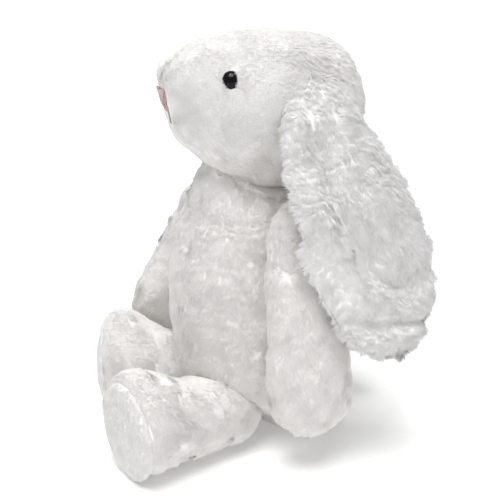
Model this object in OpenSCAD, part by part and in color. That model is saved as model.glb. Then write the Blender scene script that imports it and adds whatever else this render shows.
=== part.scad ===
// Seated lop-eared stuffed rabbit.
// It faces -Y, +X is the rabbit's own left, +Z is up.
// The origin is the centre of the flat underside of the seat.
// Every fabric cover is a closed shell with its stuffing as a separate solid inside.

/* [Fabric] */
// Thickness of the pile fabric of the covers
cover_t = 3.0; // [2.0:0.5:4.0]
// Gap between a cover and its stuffing
stuff_gap = 0.3; // [0.2:0.1:0.6]

/* [Head] */
// Width of the head in parts of its standard width
head_wide = 1.0; // [0.95:0.01:1.02]
// Length of the safety eye's dome, across
eye_d = 12; // [10:0.5:13]
// Radius of the eye's stem
eye_stem_r = 1.9; // [1.5:0.1:2.2]
// Radius of the washer that locks the eye
washer_r = 5.5; // [4.5:0.5:6.5]
// Width of the embroidered nose
nose_w = 14; // [12:0.5:16]

/* [Ears] */
// Half of the ear's greatest width
ear_w = 37; // [30:1:38]
// Thickness of the ear's long-pile side
ear_outer_t = 4.6; // [3.6:0.2:5.0]
// Thickness of the ear's short-pile side
ear_lining_t = 3.2; // [2.4:0.2:3.6]

/* [Arms] */
// Half of the paw's width, front to back
paw_w = 26; // [22:1:27]
// Angle that the right arm is swung forward at rest
right_arm_deg = 33; // [28:1:36]

/* [Legs] */
// Half of the foot's height and width
foot_r = 31.5; // [28:0.5:32]
// Angle that each leg points outwards
leg_splay = 19; // [12:1:20]
// Length of the right leg in parts of the left one
right_leg_len = 0.92; // [0.9:0.01:1.0]

/* [Seat] */
// Radius of one plastic pellet in the seat pouch
pellet_r = 3.4; // [2.5:0.1:3.6]

/* [Tail] */
// Radius of the round tail
tail_r = 12; // [10:0.5:14]

/* [Hidden] */

fur = "ivory";
short_fur = "floralwhite";
filling = "white";
pink = "rosybrown";

// ---- closed lofts: each row is one ring, and flat ends close it ----
function ring_xy(z, cx, cy, rx, ry, n) = [for (i = [0:n - 1]) let (a = 360 * i / n) [cx + rx * cos(a), cy + ry * sin(a), z]];
function rings_to_faces(m, n) = concat(
    [[for (i = [0:n - 1]) i]],
    [for (k = [0:m - 2]) for (i = [0:n - 1]) let (j = (i + 1) % n) [k * n + i, (k + 1) * n + i, (k + 1) * n + j]],
    [for (k = [0:m - 2]) for (i = [0:n - 1]) let (j = (i + 1) % n) [k * n + i, (k + 1) * n + j, k * n + j]],
    [[for (i = [n - 1:-1:0]) (m - 1) * n + i]]);
module loft(rings) {
    m = len(rings);
    n = len(rings[0]);
    polyhedron(points = [for (r = rings) each r], faces = rings_to_faces(m, n), convexity = 6);
}
// rows [z, cx, cy, rx, ry]; t takes that much off every side
function rows_in(rows, t) = let (z0 = rows[0][0], z1 = rows[len(rows) - 1][0], zm = (z0 + z1) / 2, h = (z1 - z0) / 2)
    [for (r = rows) [zm + (r[0] - zm) * (h - t) / h, r[1], r[2], max(r[3] - t, 1), max(r[4] - t, 1)]];
module body_of(rows, n, t = 0) {
    rr = rows_in(rows, t);
    loft([for (r = rr) ring_xy(r[0], r[1], r[2], r[3], r[4], n)]);
}
// a thread along points, with k sides
function unit(v) = v / norm(v);
module thread(pts, r, k = 6) {
    m = len(pts);
    up = [0.31, 0.17, 0.93];
    loft([for (i = [0:m - 1]) let (d = unit(pts[min(i + 1, m - 1)] - pts[max(i - 1, 0)]), u = unit(cross(d, up)), v = cross(d, u))
        [for (j = [0:k - 1]) let (a = 360 * j / k) pts[i] + r * (cos(a) * u + sin(a) * v)]]);
}

// ---- torso: a pear, cut back at the lower front where the legs are sewn ----
torso_rows = [
    [0, 0, 0, 27, 26], [5, 0, 3, 38, 30], [16, 0, 5, 46, 33], [36, 0, 6, 50, 34], [53, 0, 6, 51, 34],
    [55, 0, -9, 51, 48], [60, 0, -14, 51, 54], [72, 0, -18, 51, 57], [88, 0, -19.5, 48.5, 56.5],
    [104, 0, -20, 44, 55], [118, 0, -20.5, 39.5, 50.5], [130, 0, -20.5, 35.5, 46], [138, 0, -20, 32, 41], [143, 0, -19, 28, 34]];
neck_p = [0, -18, 0];
torso_top = 143;
pouch_z0 = 4;
pouch_h = 26;
pouch_r = 24;
stuff_z0 = 33;

// the hollow ends flat over the pouch, so the lower rows stay where they are
function torso_inner(t) = [for (r = torso_rows) [r[0] <= 0 ? t : (r[0] >= torso_top ? torso_top - t : (r[0] == 55 ? 55 + t : r[0])), r[1], r[2], r[3] - t, r[4] - t]];
module torso_cover() color(fur) difference() {
    loft([for (r = torso_rows) ring_xy(r[0], r[1], r[2], r[3], r[4], 28)]);
    loft([for (r = torso_inner(cover_t)) ring_xy(r[0], r[1], r[2], r[3], r[4], 28)]);
}
module torso_stuffing() color(filling) {
    t = cover_t + stuff_gap;
    rr = [for (r = torso_inner(t)) if (r[0] > stuff_z0) r];
    first = [stuff_z0, 0, 5.85, 49.4 - t, 33.85 - t];
    loft([for (r = concat([first], rr)) ring_xy(r[0], r[1], r[2], r[3], r[4], 28)]);
}
// round pouch of pellets that keeps the seat down
module seat_pellet_pouch() color("whitesmoke") translate([0, 4, pouch_z0]) rotate_extrude($fn = 48) difference() {
    hull() { translate([pouch_r - 6, 6]) circle(r = 6, $fn = 32); translate([pouch_r - 6, pouch_h - 6]) circle(r = 6, $fn = 32); square([6, pouch_h]); }
    hull() { translate([pouch_r - 6, 6]) circle(r = 5.2, $fn = 32); translate([pouch_r - 6, pouch_h - 6]) circle(r = 5.2, $fn = 32); translate([0, 0.8]) square([6, pouch_h - 1.6]); }
    translate([-20, -1]) square([20, pouch_h + 2]);
}
module seat_pellets() color("gainsboro") translate([0, 4, pouch_z0]) for (k = [0:2]) for (i = [-2:2]) for (j = [-2:2])
    let (x = 8 * (i + 0.5 * (abs(j) % 2)), y = 6.93 * j)
    if (norm([x, y]) < pouch_r - 6.2) translate([x, y, 0.8 + pellet_r + 0.6 + k * 7.9]) sphere(r = pellet_r, $fn = 24);
// ladder stitches that close the back of the seat
module seat_closing_stitches() color(fur) for (i = [0:4]) let (z = 12 + 4.5 * i) translate([-3, lookup(z, [[5, 33], [16, 38], [36, 40]]) + 0.75, z]) rotate([0, 90, 0]) cylinder(h = 6, r = 0.6, $fn = 16);

// ---- tail ----
tail_c = [0, 40 + tail_r + 0.6, 48];
module tail_cover() color(fur) translate(tail_c) difference() {
    sphere(r = tail_r, $fn = 40);
    sphere(r = tail_r - 2.5, $fn = 40);
}
module tail_stuffing() color(filling) translate(tail_c) sphere(r = tail_r - 2.8, $fn = 40);
module tail_stitches() color(fur) translate([0, 40.75, 48]) for (a = [0:45:315]) rotate([0, a, 0]) translate([5, 0, 0]) sphere(r = 0.55, $fn = 16);

// ---- neck ----
module neck_gather() color(fur) translate(neck_p + [0, 0, torso_top + 0.4]) rotate_extrude($fn = 48) polygon([[0, 0], [22, 0], [25, 0.8], [26, 2], [24.6, 2.9], [26, 3.8], [24.5, 5.0], [20, 5.6], [0, 5.6]]);
module neck_thread() color("white") translate(neck_p + [0, 0, torso_top + 3.3]) rotate_extrude($fn = 48) translate([25.75, 0]) circle(r = 0.5, $fn = 16);

// ---- head: rings across the Y axis; the pad for the nose is flat ----
// rows [y, z centre, half width, half height]
head_rows = [
    [-81, 213.5, 6, 5], [-80, 213.5, 10, 8.5], [-77.5, 213, 16, 12.5], [-72, 210.5, 23.5, 19.5], [-64, 207.5, 31, 28],
    [-55, 205, 37, 35], [-41, 201.5, 44, 42.5], [-25, 199.5, 48.5, 46.5], [-9, 199, 50, 47.5], [7, 199.5, 48.5, 45],
    [20, 200, 43.5, 39.5], [29, 200.5, 35.5, 32.5], [36, 201, 25, 23.5], [40, 201, 12, 11]];
head_n = 28;
function head_ring(y, zc, rx, rz) = [for (i = [0:head_n - 1]) let (a = -360 * i / head_n) [rx * cos(a), y, zc + rz * sin(a)]];
function head_shape(t) = [for (r = head_rows) head_ring(-20.5 + (r[0] + 20.5) * (60.5 - t) / 60.5, r[1], max((r[2] - t) * head_wide, 1.5), max(r[3] - t, 1.5))];
// the eye sits where this line meets the cheek
eye_p = [36, -47.5, 221];
eye_dir = [0.8, -0.36, 0.48];
eye_az = atan2(eye_dir[1], eye_dir[0]);
eye_el = acos(eye_dir[2] / norm(eye_dir));
module at_eye(side) if (side > 0) translate(eye_p) rotate([0, eye_el, eye_az]) children(); else mirror([1, 0, 0]) translate(eye_p) rotate([0, eye_el, eye_az]) children();
module head_cover() color(fur) difference() {
    loft(head_shape(0));
    loft(head_shape(cover_t));
    for (s = [-1, 1]) at_eye(s) { translate([0, 0, -0.6]) cylinder(h = 20, r = eye_d / 2 + 0.3, $fn = 40); translate([0, 0, -12]) cylinder(h = 14, r = eye_stem_r + 0.2, $fn = 32); }
}
module head_stuffing() color(filling) difference() {
    loft(head_shape(cover_t + stuff_gap));
    for (s = [-1, 1]) at_eye(s) translate([0, 0, -16]) cylinder(h = 20, r = washer_r + 1.2, $fn = 40);
}
module eye_part(side) color([0.03, 0.03, 0.035]) at_eye(side) {
    intersection() { translate([0, 0, -2.4]) sphere(r = norm([eye_d / 2, 1.9]), $fn = 48); translate([0, 0, -0.5]) cylinder(h = 12, r = eye_d / 2, $fn = 48); }
    translate([0, 0, -11]) cylinder(h = 10.8, r = eye_stem_r, $fn = 32);
}
module washer_part(side) color("white") at_eye(side) translate([0, 0, -6.4]) difference() { cylinder(h = 1.6, r = washer_r, $fn = 40); translate([0, 0, -1]) cylinder(h = 4, r = eye_stem_r + 0.05, $fn = 32); }
module eye_left() eye_part(1);
module eye_right() eye_part(-1);
module eye_washer_left() washer_part(1);
module eye_washer_right() washer_part(-1);
// satin-stitched triangle, wide at the top
module nose_stitching() color(pink) translate([0, -80.7, 206.5]) rotate([108, 0, 0]) linear_extrude(2.0) offset(r = 1.6, $fn = 24) offset(delta = -1.6) polygon([[-nose_w / 2, 5.5], [nose_w / 2, 5.5], [1.6, -7], [-1.6, -7]]);
// the mouth is one thread that runs down the muzzle just outside the cover
module mouth_stitching() color([0.55, 0.5, 0.47]) thread([for (d = [2, 4.5, 7, 9.5]) [0, -78.35 + 0.501 * d, 200 - 0.865 * d]], 0.6);

// ---- ears: two layers, folded along their length, hanging from the crown ----
// rows [x, y, z, half width, fold]
ear_rows = [
    [49.5, -1, 222, 13, 1.5, 0], [54.5, -1, 214, 18, 2.2, 0], [60, -1, 203, 21, 3, 0], [64, 3, 185, 27, 3.3, 0], [68.8, 9, 165, 32, 3.2, 0],
    [73.3, 14, 145, 35, 3.2, 0], [77, 17.5, 128, 37, 3.2, 0], [79.3, 22, 110, 34.5, 3, 0], [81.3, 25, 97, 30, 2.5, 0],
    [82.5, 27, 86, 24, 2, 0], [84, 28, 77, 16, 1.5, 0], [84.5, 28, 71, 7, 1, 0]];
ear_k = 8;
// cross-section of a strip from inner offset a to outer offset b, bent by the fold
function strip_pt(p, w, fold, s, off) = [p[0] + off - fold * s * s, p[1] + w * s, p[2]];
function strip_ring(r, a, b, wf) = let (w = wf * r[3] * ear_w / 37, p = [r[0], r[1], r[2]]) concat(
    [for (i = [0:ear_k]) let (s = -1 + 2 * i / ear_k, e = 1 - 0.75 * pow(abs(s), 4)) strip_pt(p, w, r[4], s, (a + b) / 2 + e * (b - a) / 2)],
    [for (i = [ear_k:-1:0]) let (s = -1 + 2 * i / ear_k, e = 1 - 0.75 * pow(abs(s), 4)) strip_pt(p, w, r[4], s, (a + b) / 2 - e * (b - a) / 2)]);
module ear_layer(a, b, wf) loft([for (k = [len(ear_rows) - 1:-1:0]) strip_ring(ear_rows[k], a, b, wf)]);
module ear_outer_part() color(fur) ear_layer(0.15, ear_outer_t, 1);
module ear_lining_part() color(short_fur) ear_layer(-ear_lining_t, -0.15, 0.94);
module ear_stitches_part() color("white") for (i = [-2:2]) translate([44.95, -1 + 5 * i, 221.3]) sphere(r = 0.6, $fn = 16);
module ear_left_outer() ear_outer_part();
module ear_left_lining() ear_lining_part();
module ear_left_stitches() ear_stitches_part();
module ear_right_outer() mirror([1, 0, 0]) ear_outer_part();
module ear_right_lining() mirror([1, 0, 0]) ear_lining_part();
module ear_right_stitches() mirror([1, 0, 0]) ear_stitches_part();

// ---- arms: rings across Z, from the paw up to the shoulder ----
shoulder = [46, -10, 134];
arm_rows = [
    [24, 70, -9, 8, 10], [27, 70.5, -10, 13, 17], [33, 71, -12, 15.5, 22], [43, 71.5, -13, 16, 25.5], [57, 70.5, -13, 16, 26],
    [73, 68, -13, 15.5, 26], [90, 64, -13, 15, 25], [106, 59.5, -13.5, 14.5, 24], [120, 54.5, -13, 14, 21],
    [132, 50.5, -12, 12.5, 18], [141, 48, -11, 10.5, 14], [147, 46.5, -10, 7, 8]];
arm_scale = paw_w / 26;
function arm_shape(t) = rows_in([for (r = arm_rows) [r[0], r[1], r[2], r[3], r[4] * arm_scale]], t);
module arm_cover_part() color(fur) difference() { body_of(arm_shape(0), 20); body_of(arm_shape(cover_t), 20); }
module arm_stuffing_part() color(filling) body_of(arm_shape(cover_t + stuff_gap), 20);
module arm_stitches_part() color("white") for (i = [0:5]) let (a = 60 * i) translate(shoulder + [-9.8, 4 * cos(a), 4 * sin(a)]) sphere(r = 0.5, $fn = 16);
module right_side() mirror([1, 0, 0]) translate(shoulder) rotate([-right_arm_deg, 0, 0]) translate(-shoulder) children();
module arm_left_cover() arm_cover_part();
module arm_left_stuffing() arm_stuffing_part();
module arm_left_stitches() arm_stitches_part();
module arm_right_cover() right_side() arm_cover_part();
module arm_right_stuffing() right_side() arm_stuffing_part();
module arm_right_stitches() right_side() arm_stitches_part();

// ---- legs: rings across the leg's own axis, lying on the ground ----
hip = [29, -50, 22];
// rows [distance from the hip, half width, half height]
leg_rows = [[-20, 5, 6], [-18, 10.5, 10], [-13, 17, 15.5], [-6, 21.8, 19.3], [4, 24.4, 21.3], [18, 26, 22.5], [31, 26.8, 24.5],
    [42, 27.8, 27.5], [51, 29, 30], [59, 29.6, 31], [65, 28.5, 30], [69, 26, 27.5]];
leg_n = 20;
leg_k = foot_r / 31;
function leg_ring(r, t, d0) = let (h = r[2] * leg_k - t, w = r[1] * leg_k - t) [for (i = [0:leg_n - 1]) let (a = 360 * i / leg_n) [w * cos(a), -d0, (r[0] < 0 ? hip[2] : 0.4 + r[2] * leg_k) + h * sin(a)]];
function leg_shape(t, q) = [for (k = [0:len(leg_rows) - 1]) let (r = leg_rows[k], d = r[0] < 0 ? r[0] * (20 - t) / 20 : r[0] * q * (69 - t) / 69) leg_ring(r, t, d)];
module in_leg() translate([hip[0], hip[1], 0]) rotate([0, 0, leg_splay]) children();
module leg_cover_part(q = 1) color(fur) in_leg() difference() { loft(leg_shape(0, q)); loft(leg_shape(cover_t, q)); }
module leg_stuffing_part(q = 1) color(filling) in_leg() loft(leg_shape(cover_t + stuff_gap, q));
// short-pile panel on the end of the foot, slightly domed
sole_rows = [[0.3, 1, 1], [1.8, 0.99, 0.99], [3.0, 0.93, 0.93], [3.8, 0.8, 0.8], [4.2, 0.6, 0.6]];
module sole_part(q = 1) color(short_fur) in_leg() loft([for (s = sole_rows) [for (i = [0:leg_n - 1]) let (a = 360 * i / leg_n) [25 * leg_k * s[1] * cos(a), -69 * q - s[0], (0.4 + 27.9 * leg_k) + 26.6 * leg_k * s[2] * sin(a)]]]);
module leg_stitches_part() color("white") in_leg() for (i = [0:5]) let (a = 60 * i) translate([4 * cos(a), 20.9, hip[2] + 4 * sin(a)]) sphere(r = 0.5, $fn = 16);
module leg_left_cover() leg_cover_part();
module leg_left_stuffing() leg_stuffing_part();
module foot_left_sole() sole_part();
module leg_left_stitches() leg_stitches_part();
module leg_right_cover() mirror([1, 0, 0]) leg_cover_part(right_leg_len);
module leg_right_stuffing() mirror([1, 0, 0]) leg_stuffing_part(right_leg_len);
module foot_right_sole() mirror([1, 0, 0]) sole_part(right_leg_len);
module leg_right_stitches() mirror([1, 0, 0]) leg_stitches_part();

torso_cover();
torso_stuffing();
seat_pellet_pouch();
seat_pellets();
seat_closing_stitches();
tail_cover();
tail_stuffing();
tail_stitches();
neck_gather();
neck_thread();
head_cover();
head_stuffing();
eye_left();
eye_right();
eye_washer_left();
eye_washer_right();
nose_stitching();
mouth_stitching();
ear_left_outer();
ear_left_lining();
ear_left_stitches();
ear_right_outer();
ear_right_lining();
ear_right_stitches();
arm_left_cover();
arm_left_stuffing();
arm_left_stitches();
arm_right_cover();
arm_right_stuffing();
arm_right_stitches();
leg_left_cover();
leg_left_stuffing();
foot_left_sole();
leg_left_stitches();
leg_right_cover();
leg_right_stuffing();
foot_right_sole();
leg_right_stitches();
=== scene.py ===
# Looks of the seated lop-eared stuffed rabbit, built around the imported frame.
# Shapes are worked out in millimetres in the row frame and turned into metres when a mesh is made.
import math

import bpy
import numpy as np
from mathutils import Matrix, Vector, kdtree
from mathutils.bvhtree import BVHTree


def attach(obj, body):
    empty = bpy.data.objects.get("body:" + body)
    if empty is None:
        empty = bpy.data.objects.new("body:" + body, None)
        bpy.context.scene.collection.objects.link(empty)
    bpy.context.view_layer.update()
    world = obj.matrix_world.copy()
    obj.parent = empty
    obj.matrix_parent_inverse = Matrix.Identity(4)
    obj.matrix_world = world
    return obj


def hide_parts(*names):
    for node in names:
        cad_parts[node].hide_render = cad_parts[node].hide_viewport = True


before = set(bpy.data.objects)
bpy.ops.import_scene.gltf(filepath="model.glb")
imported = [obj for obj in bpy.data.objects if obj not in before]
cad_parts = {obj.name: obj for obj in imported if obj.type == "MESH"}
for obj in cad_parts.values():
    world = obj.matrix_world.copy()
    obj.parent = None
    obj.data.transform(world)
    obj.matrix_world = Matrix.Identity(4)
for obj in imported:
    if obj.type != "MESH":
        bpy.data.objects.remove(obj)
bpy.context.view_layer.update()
MM = 0.001

# ------------------------------------------------------------------ small tools


def unit(v):
    n = np.linalg.norm(v, axis=-1, keepdims=True)
    return v / np.maximum(n, 1e-9)


def curve_rows(rows, n):
    """Rows of numbers, resampled to n rows on a smooth curve through them."""
    r = np.array(rows, float)
    t = np.concatenate([[0.0], np.cumsum(np.sqrt((np.diff(r, axis=0) ** 2).sum(1)))])
    g = np.gradient(r, t, axis=0)
    tt = np.linspace(0, t[-1], n)
    k = np.clip(np.searchsorted(t, tt, side="right") - 1, 0, len(r) - 2)
    h = (t[k + 1] - t[k])[:, None]
    u = ((tt - t[k])[:, None]) / h
    a, b, c, d = 2 * u**3 - 3 * u**2 + 1, u**3 - 2 * u**2 + u, -2 * u**3 + 3 * u**2, u**3 - u**2
    return a * r[k] + b * h * g[k] + c * r[k + 1] + d * h * g[k + 1]


def waves(p, scale, seed, n=9):
    """Smooth uneven waves over points in space, about -1 to 1."""
    rng = np.random.default_rng(seed)
    k = unit(rng.normal(size=(n, 3))) * (2 * math.pi / scale) * rng.uniform(0.6, 1.5, (n, 1))
    return np.sin(p @ k.T + rng.uniform(0, 2 * math.pi, n)).sum(1) * (1.35 / math.sqrt(n))


def bump(p, centre, size, amount):
    """A round swelling (or dent, if amount is negative)."""
    d2 = ((p - np.array(centre, float)) ** 2 / (np.array(size, float) ** 2)).sum(1)
    return amount * np.exp(-0.5 * d2)


def line_dist(p, pts):
    """Distance of each point from a polyline."""
    best = np.full(len(p), 1e9)
    pts = np.array(pts, float)
    for a, b in zip(pts[:-1], pts[1:]):
        ab = b - a
        t = np.clip(((p - a) @ ab) / max(ab @ ab, 1e-9), 0, 1)
        best = np.minimum(best, np.linalg.norm(p - (a + t[:, None] * ab), axis=1))
    return best


def crease(p, pts, width, depth):
    return -depth * np.exp(-0.5 * (line_dist(p, pts) / width) ** 2)


def new_object(name, verts_mm, faces, mats=(), smooth=True):
    me = bpy.data.meshes.new(name)
    me.from_pydata((np.asarray(verts_mm, float) * MM).tolist(), [], faces)
    me.update()
    ob = bpy.data.objects.new(name, me)
    bpy.context.scene.collection.objects.link(ob)
    for m in mats:
        me.materials.append(m)
    if smooth:
        me.polygons.foreach_set("use_smooth", [True] * len(me.polygons))
    return ob


def get_co(ob):
    co = np.zeros(len(ob.data.vertices) * 3, np.float32)
    ob.data.vertices.foreach_get("co", co)
    return co.reshape(-1, 3).astype(float) / MM


def set_co(ob, co):
    ob.data.vertices.foreach_set("co", (co * MM).astype(np.float32).ravel())
    ob.data.update()


def get_normals(ob):
    ob.data.update()
    no = np.zeros(len(ob.data.vertices) * 3, np.float32)
    ob.data.vertex_normals.foreach_get("vector", no)
    return no.reshape(-1, 3).astype(float)


def displace(ob, amount):
    """Moves each vertex along its normal by amount(points), in mm."""
    co, no = get_co(ob), get_normals(ob)
    set_co(ob, co + no * amount(co)[:, None])


def loft(name, rings, mats=(), cap=0.35):
    """A closed skin through rings of points (rows, around, 3), outward facing, with a pole at each end."""
    m, n, _ = rings.shape
    ends = [rings[0].mean(0), rings[-1].mean(0)]
    ends[0] = ends[0] + cap * (ends[0] - rings[1].mean(0))
    ends[1] = ends[1] + cap * (ends[1] - rings[-2].mean(0))
    verts = np.concatenate([rings.reshape(-1, 3), np.array(ends)])
    faces = []
    for k in range(m - 1):
        for i in range(n):
            j = (i + 1) % n
            faces.append((k * n + i, k * n + j, (k + 1) * n + j, (k + 1) * n + i))
    for i in range(n):
        j = (i + 1) % n
        faces.append((m * n, j, i))
        faces.append((m * n + 1, (m - 1) * n + i, (m - 1) * n + j))
    # outward if the volume is positive
    v, vol = verts, 0.0
    for f in faces:
        for q in range(1, len(f) - 1):
            vol += np.dot(v[f[0]], np.cross(v[f[q]], v[f[q + 1]]))
    if vol < 0:
        faces = [tuple(reversed(f)) for f in faces]
    return new_object(name, verts, faces, mats)


def subdivide(ob, levels=1):
    mod = ob.modifiers.new("round", "SUBSURF")
    mod.levels = mod.render_levels = levels
    apply_modifiers(ob)


def apply_modifiers(ob):
    dg = bpy.context.evaluated_depsgraph_get()
    me = bpy.data.meshes.new_from_object(ob.evaluated_get(dg))
    mats = list(ob.data.materials)
    ob.modifiers.clear()
    old = ob.data
    ob.data = me
    if not len(me.materials):
        for m in mats:
            me.materials.append(m)
    bpy.data.meshes.remove(old)
    me.polygons.foreach_set("use_smooth", [True] * len(me.polygons))


def inflate(ob, cap, pressure=4.0, frames=20, pinned=None):
    """Puffs a padded skin with a short cloth run, and holds every point within cap mm of its place."""
    start = get_co(ob)
    mod = ob.modifiers.new("stuff", "CLOTH")
    s = mod.settings
    s.quality = 5
    s.mass = 0.25
    s.use_pressure = True
    s.uniform_pressure_force = pressure
    s.effector_weights.gravity = 0.0
    s.tension_stiffness = s.compression_stiffness = 18
    s.shear_stiffness = 8
    s.bending_stiffness = 0.4
    if pinned is not None:
        g = ob.vertex_groups.new(name="held")
        for i in np.nonzero(pinned(start))[0]:
            g.add([int(i)], 1.0, "REPLACE")
        s.vertex_group_mass = "held"
    mod.point_cache.frame_start, mod.point_cache.frame_end = 1, frames
    scene = bpy.context.scene
    for f in range(1, frames + 1):
        scene.frame_set(f)
    apply_modifiers(ob)
    scene.frame_set(1)
    end = get_co(ob)
    move = end - start
    far = np.linalg.norm(move, axis=1, keepdims=True)
    move = move * np.minimum(1.0, cap / np.maximum(far, 1e-6))
    ends = np.zeros(len(ob.data.edges) * 2, np.int32)
    ob.data.edges.foreach_get("vertices", ends)
    ends = ends.reshape(-1, 2)
    held = np.zeros(len(start), bool) if pinned is None else pinned(start)
    for _ in range(4):  # even it out, so that no vertex stands out alone
        total, count = np.zeros_like(move), np.zeros(len(move))
        for i, j in ((0, 1), (1, 0)):
            np.add.at(total, ends[:, i], move[ends[:, j]])
            np.add.at(count, ends[:, i], 1)
        move = np.where(held[:, None], move, 0.4 * move + 0.6 * total / np.maximum(count, 1)[:, None])
    set_co(ob, start + move)


# ------------------------------------------------------------------ materials


def principled(name, colour, rough=0.9, **kw):
    m = bpy.data.materials.new(name)
    m.use_nodes = True
    b = m.node_tree.nodes["Principled BSDF"]
    b.inputs["Base Color"].default_value = (*colour, 1)
    b.inputs["Roughness"].default_value = rough
    for k, v in kw.items():
        b.inputs[k.replace("_", " ")].default_value = v
    return m


def fabric(name, dark, light, scale, bump_strength, rough=0.92, sheen=0.15):
    """Knitted backing with short pile: fine cells and broad unevenness in the colour, and a bump from a finer fibre
    noise.
    """
    m = bpy.data.materials.new(name)
    m.use_nodes = True
    t = m.node_tree
    b = t.nodes["Principled BSDF"]
    b.inputs["Roughness"].default_value = rough
    b.inputs["Sheen Weight"].default_value = sheen
    b.inputs["Sheen Roughness"].default_value = 0.5
    b.inputs["Specular IOR Level"].default_value = 0.15
    co = t.nodes.new("ShaderNodeTexCoord")
    fine = t.nodes.new("ShaderNodeTexVoronoi")
    fine.inputs["Scale"].default_value = scale
    broad = t.nodes.new("ShaderNodeTexNoise")
    broad.inputs["Scale"].default_value = scale * 0.08
    broad.inputs["Detail"].default_value = 4
    fibre = t.nodes.new("ShaderNodeTexNoise")
    fibre.inputs["Scale"].default_value = scale * 1.7
    fibre.inputs["Detail"].default_value = 5
    mix = t.nodes.new("ShaderNodeMath")
    mix.operation = "MULTIPLY_ADD"
    mix.inputs[1].default_value = 0.5
    ramp = t.nodes.new("ShaderNodeValToRGB")
    ramp.color_ramp.elements[0].color = (*dark, 1)
    ramp.color_ramp.elements[0].position = 0.15
    ramp.color_ramp.elements[1].color = (*light, 1)
    ramp.color_ramp.elements[1].position = 0.75
    bmp = t.nodes.new("ShaderNodeBump")
    bmp.inputs["Strength"].default_value = bump_strength
    bmp.inputs["Distance"].default_value = 0.0006
    for n in (fine, broad, fibre):
        t.links.new(co.outputs["Object"], n.inputs["Vector"])
    t.links.new(fine.outputs["Distance"], mix.inputs[0])
    t.links.new(broad.outputs["Fac"], mix.inputs[2])
    t.links.new(mix.outputs[0], ramp.inputs["Fac"])
    t.links.new(ramp.outputs["Color"], b.inputs["Base Color"])
    t.links.new(fibre.outputs["Fac"], bmp.inputs["Height"])
    t.links.new(bmp.outputs["Normal"], b.inputs["Normal"])
    return m


def fur_set(name, colours):
    """Plain shaders of one fur: root (darker, painted shade of the pile's depth), middle, light, warm, cool, and the
    side turned to the skin.
    The variety is in which strand takes which. The side turned to the skin glows faintly: painted light that fills the
    shade under lifted tufts."""
    made = [
        principled(
            f"{name}_{i}", c, 0.9, Sheen_Weight=0.1, Sheen_Roughness=0.45, Specular_IOR_Level=0.15,
        )
        for i, c in enumerate(colours)
    ]
    # a glowing copy for the faces turned to the skin: painted light, not a lamp
    painted_glow = principled(f"{name}_under", colours[1], 0.9, Specular_IOR_Level=0.1, Emission_Color=(*colours[3], 1), Emission_Strength=0.2)
    painted_glow.cycles.emission_sampling = "NONE"
    return made + [painted_glow]


# the first colour of each set is the root tone, darker: painted shade deep in the pile
IVORY = fur_set(
    "ivory_pile",
    [(0.90, 0.87, 0.835), (0.94, 0.925, 0.905), (0.965, 0.958, 0.945), (0.95, 0.925, 0.895), (0.92, 0.91, 0.90)],
)
COOL = fur_set(
    "cool_pile",
    [(0.88, 0.865, 0.855), (0.925, 0.92, 0.915), (0.955, 0.952, 0.948), (0.94, 0.925, 0.905), (0.895, 0.892, 0.90)],
)
# its last (cool) tone is darker: the head uses it mostly as painted shade under the jaw, elsewhere only as a small
# random share
SHORT = fur_set(
    "short_pile",
    [(0.90, 0.875, 0.845), (0.94, 0.928, 0.91), (0.965, 0.957, 0.945), (0.95, 0.93, 0.90), (0.80, 0.782, 0.76)],
)
skin_body = fabric("backing_body", (0.89, 0.87, 0.84), (0.955, 0.94, 0.92), 900, 0.25)
skin_head = fabric("backing_head", (0.90, 0.88, 0.855), (0.96, 0.95, 0.93), 1100, 0.25)
skin_ear = fabric("backing_ear", (0.885, 0.87, 0.86), (0.95, 0.945, 0.935), 1000, 0.25)

# ------------------------------------------------------------------ fur: closed tapered tufts, rooted in the skin


def face_mesh(name, verts, loops, starts, mat_index, mats, normals=None):
    me = bpy.data.meshes.new(name)
    me.vertices.add(len(verts))
    me.vertices.foreach_set("co", (verts * MM).astype(np.float32).ravel())
    me.loops.add(len(loops))
    me.loops.foreach_set("vertex_index", loops.astype(np.int32))
    me.polygons.add(len(starts))
    me.polygons.foreach_set("loop_start", starts.astype(np.int32))
    for m in mats:
        me.materials.append(m)
    me.polygons.foreach_set("material_index", mat_index.astype(np.int32))
    me.polygons.foreach_set("use_smooth", np.ones(len(starts), bool))
    me.update(calc_edges=True)
    if normals is not None:
        corner = me.attributes.new("custom_normal", "FLOAT_VECTOR", "CORNER")
        corner.data.foreach_set("vector", normals.astype(np.float32).ravel())
        me.update()
    ob = bpy.data.objects.new(name, me)
    bpy.context.scene.collection.objects.link(ob)
    return ob


def surface_points(ob, density, seed):
    """Evenly spread points on a mesh, with their normals."""
    me = ob.data
    me.calc_loop_triangles()
    tri = np.zeros(len(me.loop_triangles) * 3, np.int32)
    me.loop_triangles.foreach_get("vertices", tri)
    tri = tri.reshape(-1, 3)
    co, no = get_co(ob), get_normals(ob)
    a, b, c = co[tri[:, 0]], co[tri[:, 1]], co[tri[:, 2]]
    cr = np.cross(b - a, c - a)
    area = np.linalg.norm(cr, axis=1) / 2
    d = density((a + b + c) / 3, unit(cr))
    total = np.concatenate([[0.0], np.cumsum(area * d)])
    count = np.diff(np.floor(total + 0.5)).astype(int)
    which = np.repeat(np.arange(len(tri)), count)
    rng = np.random.default_rng(seed)
    r1, r2 = np.sqrt(rng.random(len(which))), rng.random(len(which))
    wa, wb, wc = 1 - r1, r1 * (1 - r2), r1 * r2
    t = tri[which]
    p = wa[:, None] * co[t[:, 0]] + wb[:, None] * co[t[:, 1]] + wc[:, None] * co[t[:, 2]]
    n = unit(wa[:, None] * no[t[:, 0]] + wb[:, None] * no[t[:, 1]] + wc[:, None] * no[t[:, 2]])
    return p, n


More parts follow.
